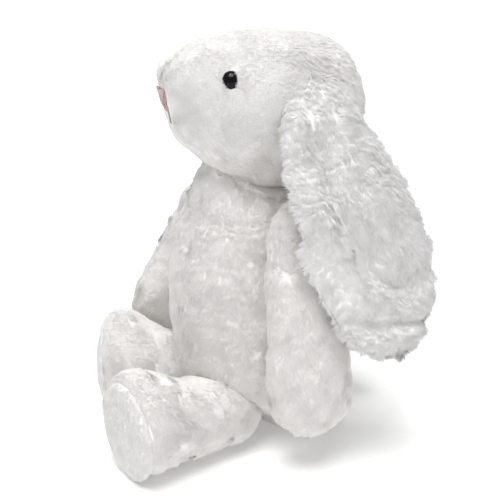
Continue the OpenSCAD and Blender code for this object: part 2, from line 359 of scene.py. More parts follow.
def grow(name, body, ob, density, look, mats, seed, long=True, clump=4.5, grab=0.45, swirl=0.3, floor=True):
    """Covers ob with tufts. look(p, n) gives length, lift in degrees, comb direction, width, and warm/cool/dark shares.
    A long tuft has two bends; otherwise it is one slim spike, which suits dense short pile."""
    p, n = surface_points(ob, density, seed)
    rng = np.random.default_rng(seed + 1)
    k = look(p, n)
    N = len(p)
    length = np.broadcast_to(k["length"], (N,)) * rng.uniform(0.78, 1.15, N)
    lift = np.broadcast_to(k.get("lift", 32.0), (N,)).astype(float)
    width = np.broadcast_to(k.get("width", 1.1), (N,)) * rng.uniform(0.8, 1.25, N)
    comb = np.broadcast_to(k["comb"], (N, 3)).astype(float)
    # clumps: tufts lean to the middle of their clump and share its direction
    cell = np.floor(p / clump).astype(np.int64)
    _, first, inverse = np.unique(cell @ np.array([1, 4099, 4099 * 4099]), return_index=True, return_inverse=True)
    sums = np.zeros((len(first), 3))
    np.add.at(sums, inverse, p)
    mid = sums / np.bincount(inverse)[:, None] + rng.normal(0, clump * 0.22, (len(first), 3))
    tree = kdtree.KDTree(len(mid))
    for i, c in enumerate(mid):
        tree.insert(c, i)
    tree.balance()
    near = np.array([tree.find(c)[1] for c in p])
    c_turn = rng.normal(0, 1, len(mid))[near]
    c_lift = rng.normal(0, 1, len(mid))[near]
    c_len = rng.normal(0, 1, len(mid))[near]
    c_tone = rng.random(len(mid))[near]
    wob = np.stack([waves(p, 16, seed + 11), waves(p, 16, seed + 12), waves(p, 16, seed + 13)], 1)
    comb = unit(comb) + swirl * wob
    t = unit(comb - n * (comb * n).sum(1, keepdims=True))
    messy = np.broadcast_to(k.get("messy", 1.0), (N,))
    turn = np.radians(messy * (c_turn * 12 + rng.normal(0, 10, N)))
    s = np.cross(n, t)
    t = t * np.cos(turn)[:, None] + s * np.sin(turn)[:, None]
    s = np.cross(n, t)
    lift = lift + messy * (c_lift * 3.5 + rng.normal(0, 4.5, N)) + 1.5 * waves(p, 11, seed + 14)
    length = length * (1 + 0.12 * c_len * messy)
    l0, l1, l2 = np.radians(np.clip(lift + 24, 8, 86)), np.radians(np.clip(lift + 2, 3, 80)), np.radians(np.clip(lift - 20, -6, 70))
    d = [n * np.sin(q)[:, None] + t * np.cos(q)[:, None] for q in (l0, l1, l2)]
    lean = (mid[near] - p) * (grab * np.broadcast_to(k.get("grab", 1.0), (N,)))[:, None]
    lean -= n * (lean * n).sum(1, keepdims=True)
    curl = (rng.normal(0, 0.07, N) * length)[:, None]
    L = length[:, None]
    if long:
        pts = [p - n * 0.6, p + d[0] * L * 0.28 + lean * 0.12, None, None]
        pts[2] = pts[1] + d[1] * L * 0.38 + lean * 0.33 + s * curl
        pts[3] = pts[2] + d[2] * L * 0.36 + lean * 0.35 - s * curl * 0.6
        wide = [0.6, 1.0, 0.72]
    else:
        pts = [p - n * 0.5, p + (d[0] * 0.35 + d[2] * 0.65) * L + lean * 0.7 + s * curl]
        wide = [1.0]
    rings = len(wide)
    verts = np.zeros((N, rings * 3 + 1, 3))
    shade = np.zeros((N, rings * 3 + 1, 3))
    round_ = k.get("round", 0.4)
    below = None
    for q in range(rings):
        ax = unit(pts[q + 1] - pts[max(q - 1, 0)])
        side = unit(np.cross(n, ax))
        top = np.cross(ax, side)
        below = -top if below is None else below
        w = (width * wide[q])[:, None]
        verts[:, q * 3 + 0] = pts[q] - side * w * 0.5 - top * w * 0.16
        verts[:, q * 3 + 1] = pts[q] + side * w * 0.5 - top * w * 0.16
        verts[:, q * 3 + 2] = pts[q] + top * w * 0.34
        shade[:, q * 3 + 0] = n * (1 - round_) + round_ * (-side)
        shade[:, q * 3 + 1] = n * (1 - round_) + round_ * side
        shade[:, q * 3 + 2] = n * (1 - round_) + round_ * top
    verts[:, -1] = pts[-1]
    shade[:, -1] = n * (1 - round_) + round_ * unit(pts[-1] - pts[-2]) * 0.5
    shade = unit(shade).astype(np.float32)
    if floor:
        low = 0.25 + 0.25 * rng.random((N, 1))
        verts[:, :, 2] = np.maximum(verts[:, :, 2], low)
    if "inside" in k:  # keeps tips out of a neighbour
        verts = k["inside"](verts)
    # faces of one tuft
    loops, starts, part, down = [0, 2, 1], [0], [0], [True] * 3
    for q in range(rings - 1):
        for i in range(3):
            j = (i + 1) % 3
            starts.append(len(loops))
            loops += [q * 3 + i, q * 3 + j, (q + 1) * 3 + j, (q + 1) * 3 + i]
            part.append(q)
            down += [i == 0] * 4
    for i in range(3):
        starts.append(len(loops))
        loops += [(rings - 1) * 3 + i, (rings - 1) * 3 + (i + 1) % 3, rings * 3]
        part.append(rings - 1)
        down += [i == 0] * 3
    loops, starts, part, down = np.array(loops), np.array(starts), np.array(part), np.array(down)
    corner = shade[:, loops]  # upper faces shade with the coat, lower faces as what they are
    corner[:, down] = below[:, None, :]
    # tone of each tuft: 1 middle, 2 light, 3 warm, 4 cool
    warm, cool, dark = (np.broadcast_to(k.get(x, y), (N,)) for x, y in (("warm", 0.2), ("cool", 0.15), ("dark", 0.25)))
    pick = 0.76 * rng.random(N) + 0.24 * c_tone
    tone = np.full(N, 2)
    tone[pick < dark + cool + warm] = 1
    tone[pick < cool + warm] = 3
    tone[pick < cool] = 4
    mat = np.repeat(tone[:, None], len(part), 1)
    # root tone, painted shade of the pile's depth: some long tufts take it on their lowest ring, some short spikes
    # whole
    painted_root_shade = rng.random((N, 1)) < (0.6 if long else 0.16)
    mat[:, part == 0] = np.where(painted_root_shade, 0, 1 if long else mat[:, part == 0])
    # faces turned to the skin take the glowing material: painted light in the shade under each tuft
    mat[:, down[starts]] = len(mats) - 1
    tris = 16 if long else 4
    per = 190000 // tris
    order = np.argsort(p[:, 2] + 0.001 * p[:, 1])
    made = []
    chunks = max(1, math.ceil(N / per))
    for c in range(chunks):
        sel = order[c * N // chunks:(c + 1) * N // chunks]
        M = len(sel)
        v = verts[sel].reshape(-1, 3)
        lp = (loops[None, :] + (np.arange(M) * verts.shape[1])[:, None]).ravel()
        st = (starts[None, :] + (np.arange(M) * len(loops))[:, None]).ravel()
        o = face_mesh(f"{name}_{c + 1}" if chunks > 1 else name, v, lp, st, mat[sel].ravel(), mats, corner[sel].reshape(-1, 3))
        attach(o, body)
        made.append(o)
    TUFTS.append((name, N, N * tris))
    return made


TUFTS = []


def even(value):
    return lambda p, n: np.full(len(p), float(value))


def ellipse_ring(cx, cy, rx, ry, z, count, power=2.2, turn=0.0):
    a = np.linspace(0, 2 * math.pi, count, endpoint=False) + turn
    c, s = np.cos(a), np.sin(a)
    e = 2 / power
    return np.stack(
        [cx + rx * np.sign(c) * np.abs(c) ** e, cy + ry * np.sign(s) * np.abs(s) ** e, np.full(count, z)], 1
    )


# ------------------------------------------------------------------ torso
# the head's rows: y, height of the middle, half width, half height
HEAD = [
    [-78.6, 213.0, 5, 4.5], [-77.4, 212.8, 10, 8.2], [-74.8, 212.3, 15.2, 12], [-69.8, 210.2, 21.8, 17.6], [-61.8, 207.3, 28.8, 25.4],
    [-52.8, 204.9, 34.6, 32.4], [-39.5, 201.6, 41.3, 39.8], [-24, 199.8, 45.4, 43.4], [-9, 199.4, 46.2, 43.8], [6, 199.8, 44.6, 41.4],
    [18.5, 200.2, 39.6, 36], [27, 200.6, 32.2, 29.2], [33, 201, 22.5, 20.6], [36.2, 201, 10.5, 9.5]]
TORSO = [
    [1.0, 0, 0, 20, 20], [2.2, 0, 1.5, 30, 25], [7, 0, 4, 38, 28.5], [16, 0, 2.5, 42.5, 31.5], [24, 0, -5, 44, 39.5],
    [31, 0, -12.5, 45.3, 47.5], [37, 0, -16, 46.2, 51], [45, 0, -17.4, 46.8, 52.6], [54, 0, -17.8, 47, 53], [64, 0, -18, 47, 53],
    [76, 0, -18.5, 46.3, 52.5], [90, 0, -19.5, 44.2, 52.2], [104, 0, -20, 41.5, 51], [118, 0, -20.5, 39, 46], [130, 0, -20.5, 37, 36],
    [138, 0, -20, 34.5, 29], [143, 0, -19.5, 30, 24.5], [145.5, 0, -19, 21, 18]]
rows = curve_rows(TORSO, 44)
rows[:, 0] = np.maximum(rows[:, 0], 0.9)
torso = loft("torso_plush", np.array([ellipse_ring(r[1], r[2], r[3], r[4], r[0], 64) for r in rows]), [skin_body], cap=0.05)
inflate(torso, 3.0, 3.0, 18, pinned=lambda p: (p[:, 2] < 2.5) | (p[:, 2] > 143))
co = get_co(torso)
co[:, 2] = np.maximum(co[:, 2], 0.9)
set_co(torso, co)


def head_under(x, y):
    """Height of the underside of the head above a place on the floor plan."""
    h = np.array(HEAD)
    zc, wx, wz = (np.interp(y, h[:, 0], h[:, k]) for k in (1, 2, 3))
    return zc - wz * np.clip(1 - np.clip(np.abs(x) / wx, 0, 1) ** 2.15, 0, 1) ** (1 / 2.15)


def chest_rise(p):
    """The top of the chest lies against the underside of the head, most of all in front."""
    w = np.clip((p[:, 2] - 108) / 34, 0, 1)
    q = p.copy()
    near = np.clip((np.abs(p[:, 0]) - 8) / 24, 0, 1)
    reach = (8 + 0.66 * np.clip(-(p[:, 1] + 14), 0, 40)) * (1 - 0.85 * near * near * (3 - 2 * near))
    room = head_under(p[:, 0], p[:, 1]) - 0.5 - p[:, 2]
    q[:, 2] += w * w * (3 - 2 * w) * np.clip(room, 0, reach)
    return q


set_co(torso, chest_rise(get_co(torso)))


def torso_relief(p):
    a = np.arctan2(p[:, 1] + 19, p[:, 0])
    pleat = np.sin(17 * a + 2.2 * waves(p, 40, 5)) * 0.5 * np.clip((p[:, 2] - 132) / 14, 0, 1)
    fold = np.zeros(len(p))
    for side in (1, -1):  # soft folds running round under the chin
        fold += crease(p, [(side * 33, -34, 152), (side * 25, -48, 153), (side * 10, -56, 156)], 2.0, 2.4)
        fold += crease(p, [(side * 37, -32, 144), (side * 30, -50, 145), (side * 16, -60, 146)], 2.0, 2.6)
        fold += crease(p, [(side * 40, -34, 135), (side * 33, -54, 135), (side * 22, -64, 134)], 2.2, 2.3)
        fold += crease(p, [(side * 40, -40, 124), (side * 34, -58, 122)], 2.6, 1.7)
    soft = 0.8 * waves(p, 34, 3) + 0.25 * waves(p, 17, 4) + 0.1 * waves(p, 8, 6)
    return (pleat + fold + soft + 1.9) * np.clip((p[:, 2] - 3) / 10, 0, 1)


displace(torso, torso_relief)
subdivide(torso)
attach(torso, "torso")
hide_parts("torso_cover", "torso_stuffing")


def torso_look(p, n):
    low = np.clip((10 - p[:, 2]) / 8, 0, 1)
    comb = np.stack([0.15 * p[:, 0] / 40, -0.25 * np.ones(len(p)), -np.ones(len(p))], 1)
    comb[n[:, 2] < -0.8] = (0.2, -1, 0)
    under = n[:, 2] < -0.75
    # the coat lies in small rucks across the body, most of all under the chin
    chest = np.clip((p[:, 2] - 112) / 14, 0, 1)
    ruck = (5 + 8 * chest) * np.clip(0.6 + 0.5 * waves(p, 24, 78), 0.1, 1.3) * np.sin(2 * math.pi * (p[:, 2] + 2.4 * waves(p, 15, 77)) / 6.2)
    # below 60 mm fewer middle-tone and cool tufts: the lower belly is painted lighter against the shade it sits in
    return dict(
        length=np.where(under, 3.0, 5.0 + 0.6 * waves(p, 22, 31) - 1.6 * np.clip((p[:, 2] - 112) / 14, 0, 1)), lift=19 + ruck, comb=comb,
        width=0.95, warm=0.28, cool=0.08 - 0.05 * np.clip((60 - p[:, 2]) / 20, 0, 1), dark=0.25 - 0.15 * np.clip((60 - p[:, 2]) / 20, 0, 1), messy=0.75, grab=0.6)


def torso_density(p, n):
    d = np.full(len(p), 5.4)
    d[(n[:, 2] < -0.75) & (p[:, 2] < 6)] = 0.8
    d[(n[:, 2] > 0.5) & (p[:, 2] > 140)] = 1.2
    d[(np.abs(p[:, 0]) < 44) & (p[:, 1] < 0) & (p[:, 2] < 26)] = 1.6
    return d


grow("torso_fur", "torso", torso, torso_density, torso_look, IVORY, 100, long=False, clump=3.6, swirl=0.45)

# ------------------------------------------------------------------ tail
TAIL_C = np.array((0, 52.6, 48.0))
z = np.linspace(-1, 1, 14)
rings = [ellipse_ring(0, 0, 9 * math.cos(1.45 * q), 9 * math.cos(1.45 * q), 9 * math.sin(1.45 * q), 24, 2.0) for q in z]
tail = loft("tail_plush", np.array(rings) + TAIL_C, [skin_body], cap=0.2)
co = get_co(tail)  # its front runs into the seat's cloth, where it is sewn on
co[:, 1] = np.where(co[:, 1] < TAIL_C[1], TAIL_C[1] + (co[:, 1] - TAIL_C[1]) * 2.1, co[:, 1])
set_co(tail, co)
displace(tail, lambda p: 0.5 * waves(p, 9, 8))
subdivide(tail)
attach(tail, "torso")
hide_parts("tail_cover", "tail_stuffing", "tail_stitches")
grow("tail_fur", "torso", tail, even(5.5), lambda p, n: dict(length=6.5, lift=45, comb=np.stack([0.3 * p[:, 0], 0 * p[:, 0] + 6, 0 * p[:, 0] - 5], 1), width=0.75),
     IVORY, 140, long=False, clump=3.5)

# ------------------------------------------------------------------ neck: a drawn-in ring of pleats between head and torso
z = np.linspace(0, 1, 12)
neck_r = 27.5 + 1.2 * np.sin(math.pi * z * 3) - 3.5 * z**2
rings = [ellipse_ring(0, -19.5, r, r * 1.16, 138.5 + 14.0 * q, 96, 2.0) for q, r in zip(z, neck_r)]
neck = loft("neck_gathers", np.array(rings), [skin_body], cap=0.05)
set_co(neck, chest_rise(get_co(neck)))
displace(neck, lambda p: 0.9 * np.sin(22 * np.arctan2(p[:, 1] + 19.5, p[:, 0]) + 1.5 * waves(p, 30, 9)) * (np.abs(p[:, 2] - 146) < 6.5))
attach(neck, "neck")
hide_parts("neck_gather")
a = np.linspace(0, 2 * math.pi, 160, endpoint=False)
thread_rings = []
for q in a:  # the drawstring thread round the neck, two strands wound together
    c = np.array((27.6 * math.cos(q), -19.5 + 31.6 * math.sin(q), 145.2 + 0.25 * math.sin(22 * q)))
    out, up = np.array((math.cos(q), math.sin(q), 0)), np.array((0, 0, 1.0))
    b = np.linspace(0, 2 * math.pi, 8, endpoint=False)
    rr = 0.42 * (1 + 0.22 * np.cos(2 * b + 40 * q))
    thread_rings.append(c + rr[:, None] * (np.cos(b)[:, None] * out + np.sin(b)[:, None] * up))
m, n = len(thread_rings), 8
thread_faces = [(k * n + i, ((k + 1) % m) * n + i, ((k + 1) % m) * n + (i + 1) % n, k * n + (i + 1) % n) for k in range(m) for i in range(n)]
sewing = fabric("sewing_thread_twist", (0.66, 0.63, 0.58), (0.88, 0.86, 0.82), 2600, 0.4)
neck_thread = new_object("neck_draw_thread", chest_rise(np.concatenate(thread_rings)), [tuple(reversed(f)) for f in thread_faces], [sewing])
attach(neck_thread, "neck")
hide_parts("neck_thread")


def neck_look(p, n):
    out = np.stack([p[:, 0], p[:, 1] + 18, 0 * p[:, 0] - 14], 1)
    return dict(length=4.0, lift=20, comb=out * (1, 1, 0) + (0, 0, -14.0), width=1.0, dark=0.5, warm=0.3)


grow("neck_fur", "neck", neck, lambda p, n: np.where(np.abs(n[:, 2]) < 0.7, 2.5, 0.0), neck_look, IVORY, 160, long=False, clump=4.0)

# ------------------------------------------------------------------ head
EYE = np.array((36.0, -47.5, 221.0))
EYE_DIR = unit(np.array((0.8, -0.36, 0.48)))
rows = curve_rows(HEAD, 40)
rings = []
for r in rows:
    a = np.linspace(0, 2 * math.pi, 60, endpoint=False)
    c, s = np.cos(a), np.sin(a)
    e = 2 / 2.15
    rings.append(np.stack([r[2] * np.sign(c) * np.abs(c) ** e, np.full(60, r[0]), r[1] + r[3] * np.sign(s) * np.abs(s) ** e], 1))
head = loft("head_plush", np.array(rings), [skin_head], cap=0.15)
inflate(head, 2.0, 2.5, 14)


def both_sides(p):
    q = p.copy()
    q[:, 0] = np.abs(q[:, 0])
    return q


def head_relief(p):
    q = both_sides(p)
    d = bump(q, (37, -41, 231), (9, 10, 4.5), 1.8)  # brow above the eye
    d += bump(q, (44, -36, 203), (10, 15, 12), 2.0)  # cheek
    d += bump(q, (15, -70, 198), (6, 6, 7), 1.0)  # muzzle on each side of the nose
    d += bump(q, EYE, (5.5, 6.5, 6.5), 1.9)  # the cloth rises to the eye's rim
    d -= bump(q, EYE + (2, 7, -9), (6, 5, 3.5), 1.2)
    d += bump(q, (0, -77, 218), (12, 7, 5), 0.9)  # the muzzle stands out above the nose
    d -= bump(q, (0, -79, 205.5), (12.5, 6, 7.5), 2.9)  # where the nose is sewn
    d += crease(q, [(13.5, -70.8, 217), (10.5, -73, 212.7), (8, -76, 208.4)], 1.3, 1.3)  # beside the nose
    d += crease(q, [(0, -78, 199), (0, -70, 188), (0, -60, 178)], 2.2, 1.6)  # seam under the chin
    d += crease(q, [(0, -70, 228), (0, -30, 244), (0, 10, 241)], 2.0, 0.8)  # seam over the crown
    d += bump(q, (0, -64, 230), (18, 10, 7), 3.5)  # a full brow line down to the muzzle
    d += bump(q, (0, -56, 235), (20, 12, 8), 1.3) + bump(q, (0, -72, 225.5), (14, 5, 4.5), 0.5)
    d += bump(q, (0, -67, 186), (17, 11, 8), 3.4) + bump(q, (0, -50, 170), (22, 12, 8), 2.2)
    d += 0.5 * waves(p, 26, 21) + 0.12 * waves(p, 7, 22)
    return d + 0.9 + 1.4 * np.clip((p[:, 1] + 8) / 34, 0, 1)


displace(head, head_relief)
subdivide(head)
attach(head, "head")
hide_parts("head_cover", "head_stuffing")


def eye_dist(p):
    """Distance from the nearer eye's axis, only for points near that eye."""
    q = both_sides(p) - EYE
    along = q @ EYE_DIR
    d = np.linalg.norm(q - along[:, None] * EYE_DIR, axis=1)
    return np.where(np.abs(along) < 10, d, 99.0)


def nose_dist(p):
    q = (p - (0, -79, 206.5)) / (9.4, 7.0, 6.8)
    return np.linalg.norm(q, axis=1)


def head_look(p, n):
    back = np.clip((p[:, 1] + 8) / 34, 0, 1)
    crown = np.clip((p[:, 2] - 222) / 20, 0, 1) * np.clip((p[:, 1] + 62) / 25, 0, 1)
    chin = np.clip((176 - p[:, 2]) / 20, 0, 1)
    face = np.clip((-p[:, 1] - 30) / 30, 0, 1)
    length = 2.9 + 3.8 * back + 0.7 * crown + 1.0 * chin - 0.3 * face
    ed = eye_dist(p)
    length = length * np.clip(0.55 + (ed - 5) / 14, 0.55, 1)
    near_nose = np.clip((nose_dist(p) - 1.0) / 1.3, 0, 1)
    length = length * (0.4 + 0.6 * near_nose)
    comb = np.stack([0.25 * np.clip(p[:, 0] / 12, -1, 1), 0.75 + 0 * back, -0.35 - 0.9 * back], 1)
    comb[:, 2] -= 0.5 * chin
    root = np.clip((np.abs(p[:, 0]) - 27) / 8, 0, 1) * np.clip((22 - np.abs(p[:, 1])) / 8, 0, 1) * np.clip((p[:, 2] - 208) / 8, 0, 1)
    comb = comb * (1 - root[:, None]) + root[:, None] * np.stack([0.5 * np.sign(p[:, 0]), 0 * back, 0 * back - 1], 1)
    length = length + 2.6 * root
    # round the eye the pile is brushed outwards and down
    q = both_sides(p) - EYE
    away = q - (q @ EYE_DIR)[:, None] * EYE_DIR
    away[:, 0] *= np.where(p[:, 0] < 0, -1, 1)
    w = np.clip((11 - ed) / 5, 0, 1)[:, None] * 0.85
    beside = np.clip((np.abs(unit(away)[:, 1]) - 0.45) / 0.3, 0, 1)[:, None]  # at its sides it leans over the eye's rim
    comb = comb * (1 - w) + w * (unit(away) * (0.3 - 1.3 * beside) + np.array((0, 0.1, -0.45)))
    over = (w * beside)[:, 0]
    length = length + 1.6 * over
    # more cool and middle-tone tufts and fewer warm ones under the jaw: painted shade of the head's underside
    painted_underside_shade = np.clip((184 - p[:, 2]) / 16, 0, 1)
    ring = np.hypot(p[:, 0], p[:, 1] + 18)
    skirt = np.clip((ring - 12) / 4, 0, 1) * np.clip((38 - ring) / 8, 0, 1) * np.clip((166 - p[:, 2]) / 4, 0, 1)
    length = length + 1.6 * skirt
    return dict(
        length=length, lift=15 + 5 * back + 24 * over - 7 * (1 - near_nose) + 34 * skirt, comb=comb, width=0.72 + 0.26 * back, messy=0.5 + 0.5 * back,
        warm=0.22 * (1 - painted_underside_shade), cool=0.08 + 0.35 * back * np.clip((215 - p[:, 2]) / 20, 0, 1) + 0.6 * painted_underside_shade, dark=0.2 + 0.15 * back + 0.1 * painted_underside_shade, grab=0.15 + 0.6 * back)


def head_density(p, n):
    d = 8.4 - 2.6 * np.clip((p[:, 1] + 15) / 30, 0, 1)
    d[eye_dist(p) < 4.0] = 0
    d[nose_dist(p) < 0.95] = 0
    d[(p[:, 2] < 160) & (np.hypot(p[:, 0], p[:, 1] + 18) < 13)] = 0.5
    return d


grow("head_fur", "head", head, head_density, head_look, SHORT, 200, long=False, clump=2.6, swirl=0.3)


def lathe(name, profile, place, mats, n=64):
    """A solid of revolution: profile is (radius, height) from the bottom of the axis to its top."""
    rings = np.array([[(r * math.cos(q), r * math.sin(q), h) for q in np.linspace(0, 2 * math.pi, n, endpoint=False)] for r, h in profile])
    ob = loft(name, rings, mats, cap=0.0)
    ob.data.transform(place)
    ob.data.update()
    return ob


eye_gloss = principled("eye_gloss", (0.002, 0.002, 0.003), 0.05, Specular_IOR_Level=0.2)
for side, s in (("left", 1), ("right", -1)):
    d = Vector((EYE_DIR[0] * s, EYE_DIR[1], EYE_DIR[2]))
    at = Vector((EYE[0] * s, EYE[1], EYE[2])) - d * 2.0
    prof = [(0.3, -8.0), (1.8, -7.9), (1.9, -1.5), (4.8, -1.2), (5.4, -0.8), (5.5, -0.3)]
    prof += [(5.5 * math.cos(q), 4.4 * math.sin(q)) for q in np.linspace(0.06, 1.5, 16)]
    place = Matrix.Translation(at * MM) @ d.to_track_quat("Z", "Y").to_matrix().to_4x4()
    eye = lathe(f"eye_{side}_dome", prof, place, [eye_gloss])
    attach(eye, "head")
    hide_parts(f"eye_{side}")

# nose: rows of satin stitch over a small pad, and one thread for the mouth
nose_mat = fabric("nose_satin", (0.40, 0.265, 0.26), (0.58, 0.41, 0.405), 1800, 0.6, rough=0.55, sheen=0.3)
mouth_mat = fabric("mouth_thread", (0.22, 0.18, 0.17), (0.42, 0.36, 0.33), 1800, 0.5, rough=0.7)


def tube(points, radii, n=8, twist=0.0, flat=1.0):
    """Vertices and faces of a closed tube along points, radii per point; twist gives two visible plies."""
    pts = np.array(points, float)
    m = len(pts)
    ax = unit(np.gradient(pts, axis=0))
    up = np.array((0.31, -0.9, 0.2))
    rings = []
    for i in range(m):
        u = unit(np.cross(ax[i], up))
        v = np.cross(ax[i], u)
        b = np.linspace(0, 2 * math.pi, n, endpoint=False)
        rr = radii[i] * (1 + 0.2 * np.cos(2 * b + twist * i))
        rings.append(pts[i] + rr[:, None] * (np.cos(b)[:, None] * u + flat * np.sin(b)[:, None] * v))
    verts = np.concatenate(rings + [pts[:1] - ax[:1] * radii[0] * 0.4, pts[-1:] + ax[-1:] * radii[-1] * 0.4])
    faces = [(k * n + i, k * n + (i + 1) % n, (k + 1) * n + (i + 1) % n, (k + 1) * n + i) for k in range(m - 1) for i in range(n)]
    faces += [(m * n, (i + 1) % n, i) for i in range(n)] + [(m * n + 1, (m - 1) * n + i, (m - 1) * n + (i + 1) % n) for i in range(n)]
    return verts, faces


def tubes(name, many, mats):
    vs, fs, off = [], [], 0
    for v, f in many:
        vs.append(v)
        fs += [tuple(q + off for q in x) for x in f]
        off += len(v)
    return new_object(name, np.concatenate(vs), fs, mats)


skin_tree = BVHTree.FromPolygons([v.co.copy() for v in head.data.vertices], [tuple(f.vertices) for f in head.data.polygons])


def head_front(x, z):
    """The y of the head's front, in mm, level with (x, z)."""
    hit = skin_tree.ray_cast(Vector((x * MM, -0.2, z * MM)), Vector((0, 1, 0)))[0]
    return hit.y / MM


def nose_point(x, t):
    """A point on the nose: t from 0 at the top edge to 1 at the bottom."""
    z = 212.6 - 12.4 * t + 0.012 * x * x
    return np.array((x, head_front(x, z) - 1.2 - 1.1 * math.sin(math.pi * min(max(t, 0), 1)) * (1 - (x / 10.4) ** 2), z))


stitches = []
rng = np.random.default_rng(77)
count = 19
for i in range(count):
    x = -9.3 + 18.6 * i / (count - 1)
    end = 1.0 - 0.76 * (abs(x) / 9.6) ** 1.9
    t = np.linspace(0.0 + 0.02 * rng.random(), end, 9)
    pts = [nose_point(x * (1 - 0.3 * q), q) + (0, -0.12 * (i % 2), 0) for q in t]
    stitches.append(tube(pts, [0.46] + [0.5 + 0.03 * rng.random()] * 7 + [0.42], flat=1.25))
nose = tubes("nose_satin_stitches", stitches, [nose_mat])
pad_rings = []
for t in np.linspace(0.03, 0.95, 14):
    half = 9.1 * (1 - 0.7 * t ** 1.9)
    b = np.linspace(0, 2 * math.pi, 20, endpoint=False)
    pad_rings.append(np.array([nose_point(half * math.cos(q), t) + (0, 1.1 + 1.0 * math.sin(q), 0) for q in b]))
pad = loft("nose_pad", np.array(pad_rings), [nose_mat], cap=0.1)
for o in (nose, pad):
    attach(o, "head")
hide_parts("nose_stitching")
m_pts = [np.array((x, head_front(x, z) - 0.6, z)) for x, z in ((0.25 * math.sin(k), 200.6 - 0.75 * k) for k in np.linspace(0, 10, 22))]
many = [tube(m_pts, [0.42] * len(m_pts), twist=0.9)]
mouth = tubes("mouth_thread_stitches", many, [mouth_mat])
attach(mouth, "head")
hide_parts("mouth_stitching")

# ------------------------------------------------------------------ ears: two layers sewn round the edge, folded and hanging
EAR = [
    [49.5, -1, 222, 12.5, 1.5], [54.5, -1, 214, 17.5, 2.2], [60, -1, 203, 21, 3], [64, 3, 185, 27, 3.3], [68.8, 9, 165, 32, 3.2],
    [73.3, 14, 145, 35, 3.2], [77, 17.5, 128, 37, 3.2], [79.3, 22, 110, 34.5, 3], [81.3, 25, 97, 30, 2.5],
    [82.5, 27, 86, 24, 2], [84, 28, 77, 16, 1.5], [84.5, 28, 72, 7, 1]]
VALLEY = [(-7.5, 212), (-6.4, 181), (-3, 161), (8, 138), (20, 117), (33, 109)]
RIDGE = [(-4, 160), (-0.8, 147), (13.6, 120), (27, 109)]
FOLD = [(4, 96), (8, 94), (21, 91), (37, 90), (49, 91)]


def ear_relief(p):
    """How far the hanging ear bulges outwards, from where it is in y and z."""
    q = np.stack([0 * p[:, 1], p[:, 1], p[:, 2]], 1)
    flat = lambda pts: [(0, y, z) for y, z in pts]
    d = crease(q, flat(VALLEY), 2.6, 4.6) + crease(q, [(0, y + 4, z + 3) for y, z in VALLEY[3:]], 8.0, 4.0)
    d += -crease(q, [(0, y - 4.0, z - 3.5) for y, z in RIDGE], 5.2, 4.2)
    d += bump(q, (0, -6, 122), (1, 12, 26), 3.6)
    d += bump(q, (0, 30, 150), (1, 14, 30), 1.8)
    d += crease(q, flat(FOLD), 3.0, 4.4)
    d += -crease(q, [(0, 8, 84), (0, 26, 82), (0, 40, 84)], 4.0, 2.6)
    d += -crease(q, [(0, 6, 101), (0, 26, 98), (0, 46, 99)], 3.2, 1.5)
    d += 0.7 * waves(q, 30, 41) + 0.3 * waves(q, 15, 42)
    return d * np.clip((222 - p[:, 2]) / 18, 0, 1)


def ear_skin(name, off_in, off_out, wide, mats, side):
    rows = curve_rows(EAR, 60)
    rings = []
    for r in rows:
        x, y, z, w, fold = r
        g = float(np.clip((z - 150) / 46, 0, 1))
        x -= 5.8 * g * g * (3 - 2 * g)  # the root is sewn flat against the head
        g = float(np.clip((z - 203) / 18, 0, 1))
        thin = 1 - 0.7 * g
        x -= 2.6 * g
        fold = fold + 5.0 * float(np.clip((z - 184) / 22, 0, 1))
        w = w * wide
        s1 = np.sin(np.linspace(-math.pi / 2, math.pi / 2, 30))
        ring = []
        for s, outer in [(q, True) for q in s1] + [(q, False) for q in s1[::-1][1:-1]]:
            e = math.sqrt(max(0.0, 1 - s ** 6))
            mid_off, half = (off_in + off_out) / 2, (off_out - off_in) / 2
            off = mid_off + (half if outer else -half) * (0.25 + 0.75 * e)
            ring.append((x + off * thin - fold * s * s, y + w * s, z))
        rings.append(ring)
    rings = np.array(rings)
    flatp = rings.reshape(-1, 3)
    flatp = flatp + np.stack([ear_relief(flatp), 0 * flatp[:, 0], 0 * flatp[:, 0]], 1)
    rings = flatp.reshape(rings.shape)
    if side < 0:
        rings = rings * (-1, 1, 1)
    return loft(name, rings, mats, cap=0.2)


def ear_edge(p):
    """Place across the ear from -1 at its front edge to 1 at its back edge, and its half width."""
    e = np.array(EAR)[::-1]
    y, w = np.interp(p[:, 2], e[:, 2], e[:, 1]), np.interp(p[:, 2], e[:, 2], e[:, 3])
    return (p[:, 1] - y) / w, w


def ear_outer_look(side):
    def look(p, n):
        s, w = ear_edge(p)
        rear = np.clip((s - 0.1) / 0.5, 0, 1)
        edge = np.clip((np.abs(s) - 0.82) / 0.15, 0, 1)
        front_low = np.clip((p[:, 1] + 22) / 8, 0, 1) * np.clip((20 - p[:, 1]) / 14, 0, 1) * np.clip((146 - p[:, 2]) / 16, 0, 1) * np.clip((p[:, 2] - 92) / 8, 0, 1)
        root = np.clip((p[:, 2] - 196) / 16, 0, 1)
        length = 4.8 + 1.4 * rear + 1.2 * edge - 2.0 * front_low - 1.0 * root
        comb = np.stack([0 * s, 0.45 * s * (np.abs(s) > 0.4) - 0.25 * (s < -0.4), -np.ones(len(s))], 1)
        # along the valley crease more middle-tone tufts: painted shade in the crease
        v = line_dist(np.stack([0 * s, p[:, 1], p[:, 2]], 1), [(0, y, z) for y, z in VALLEY])
        inside = n[:, 0] * side < 0.1
        length = np.where(inside, 3.0, length)
        return dict(length=length, lift=20 + 4 * rear - 4 * front_low, comb=comb, width=0.98 - 0.24 * front_low,
                    warm=0.18, cool=0.12 + 0.3 * rear + 0.25 * edge, dark=0.22 + 0.35 * np.exp(-(v / 4) ** 2), grab=1 - 0.3 * front_low)
    return look


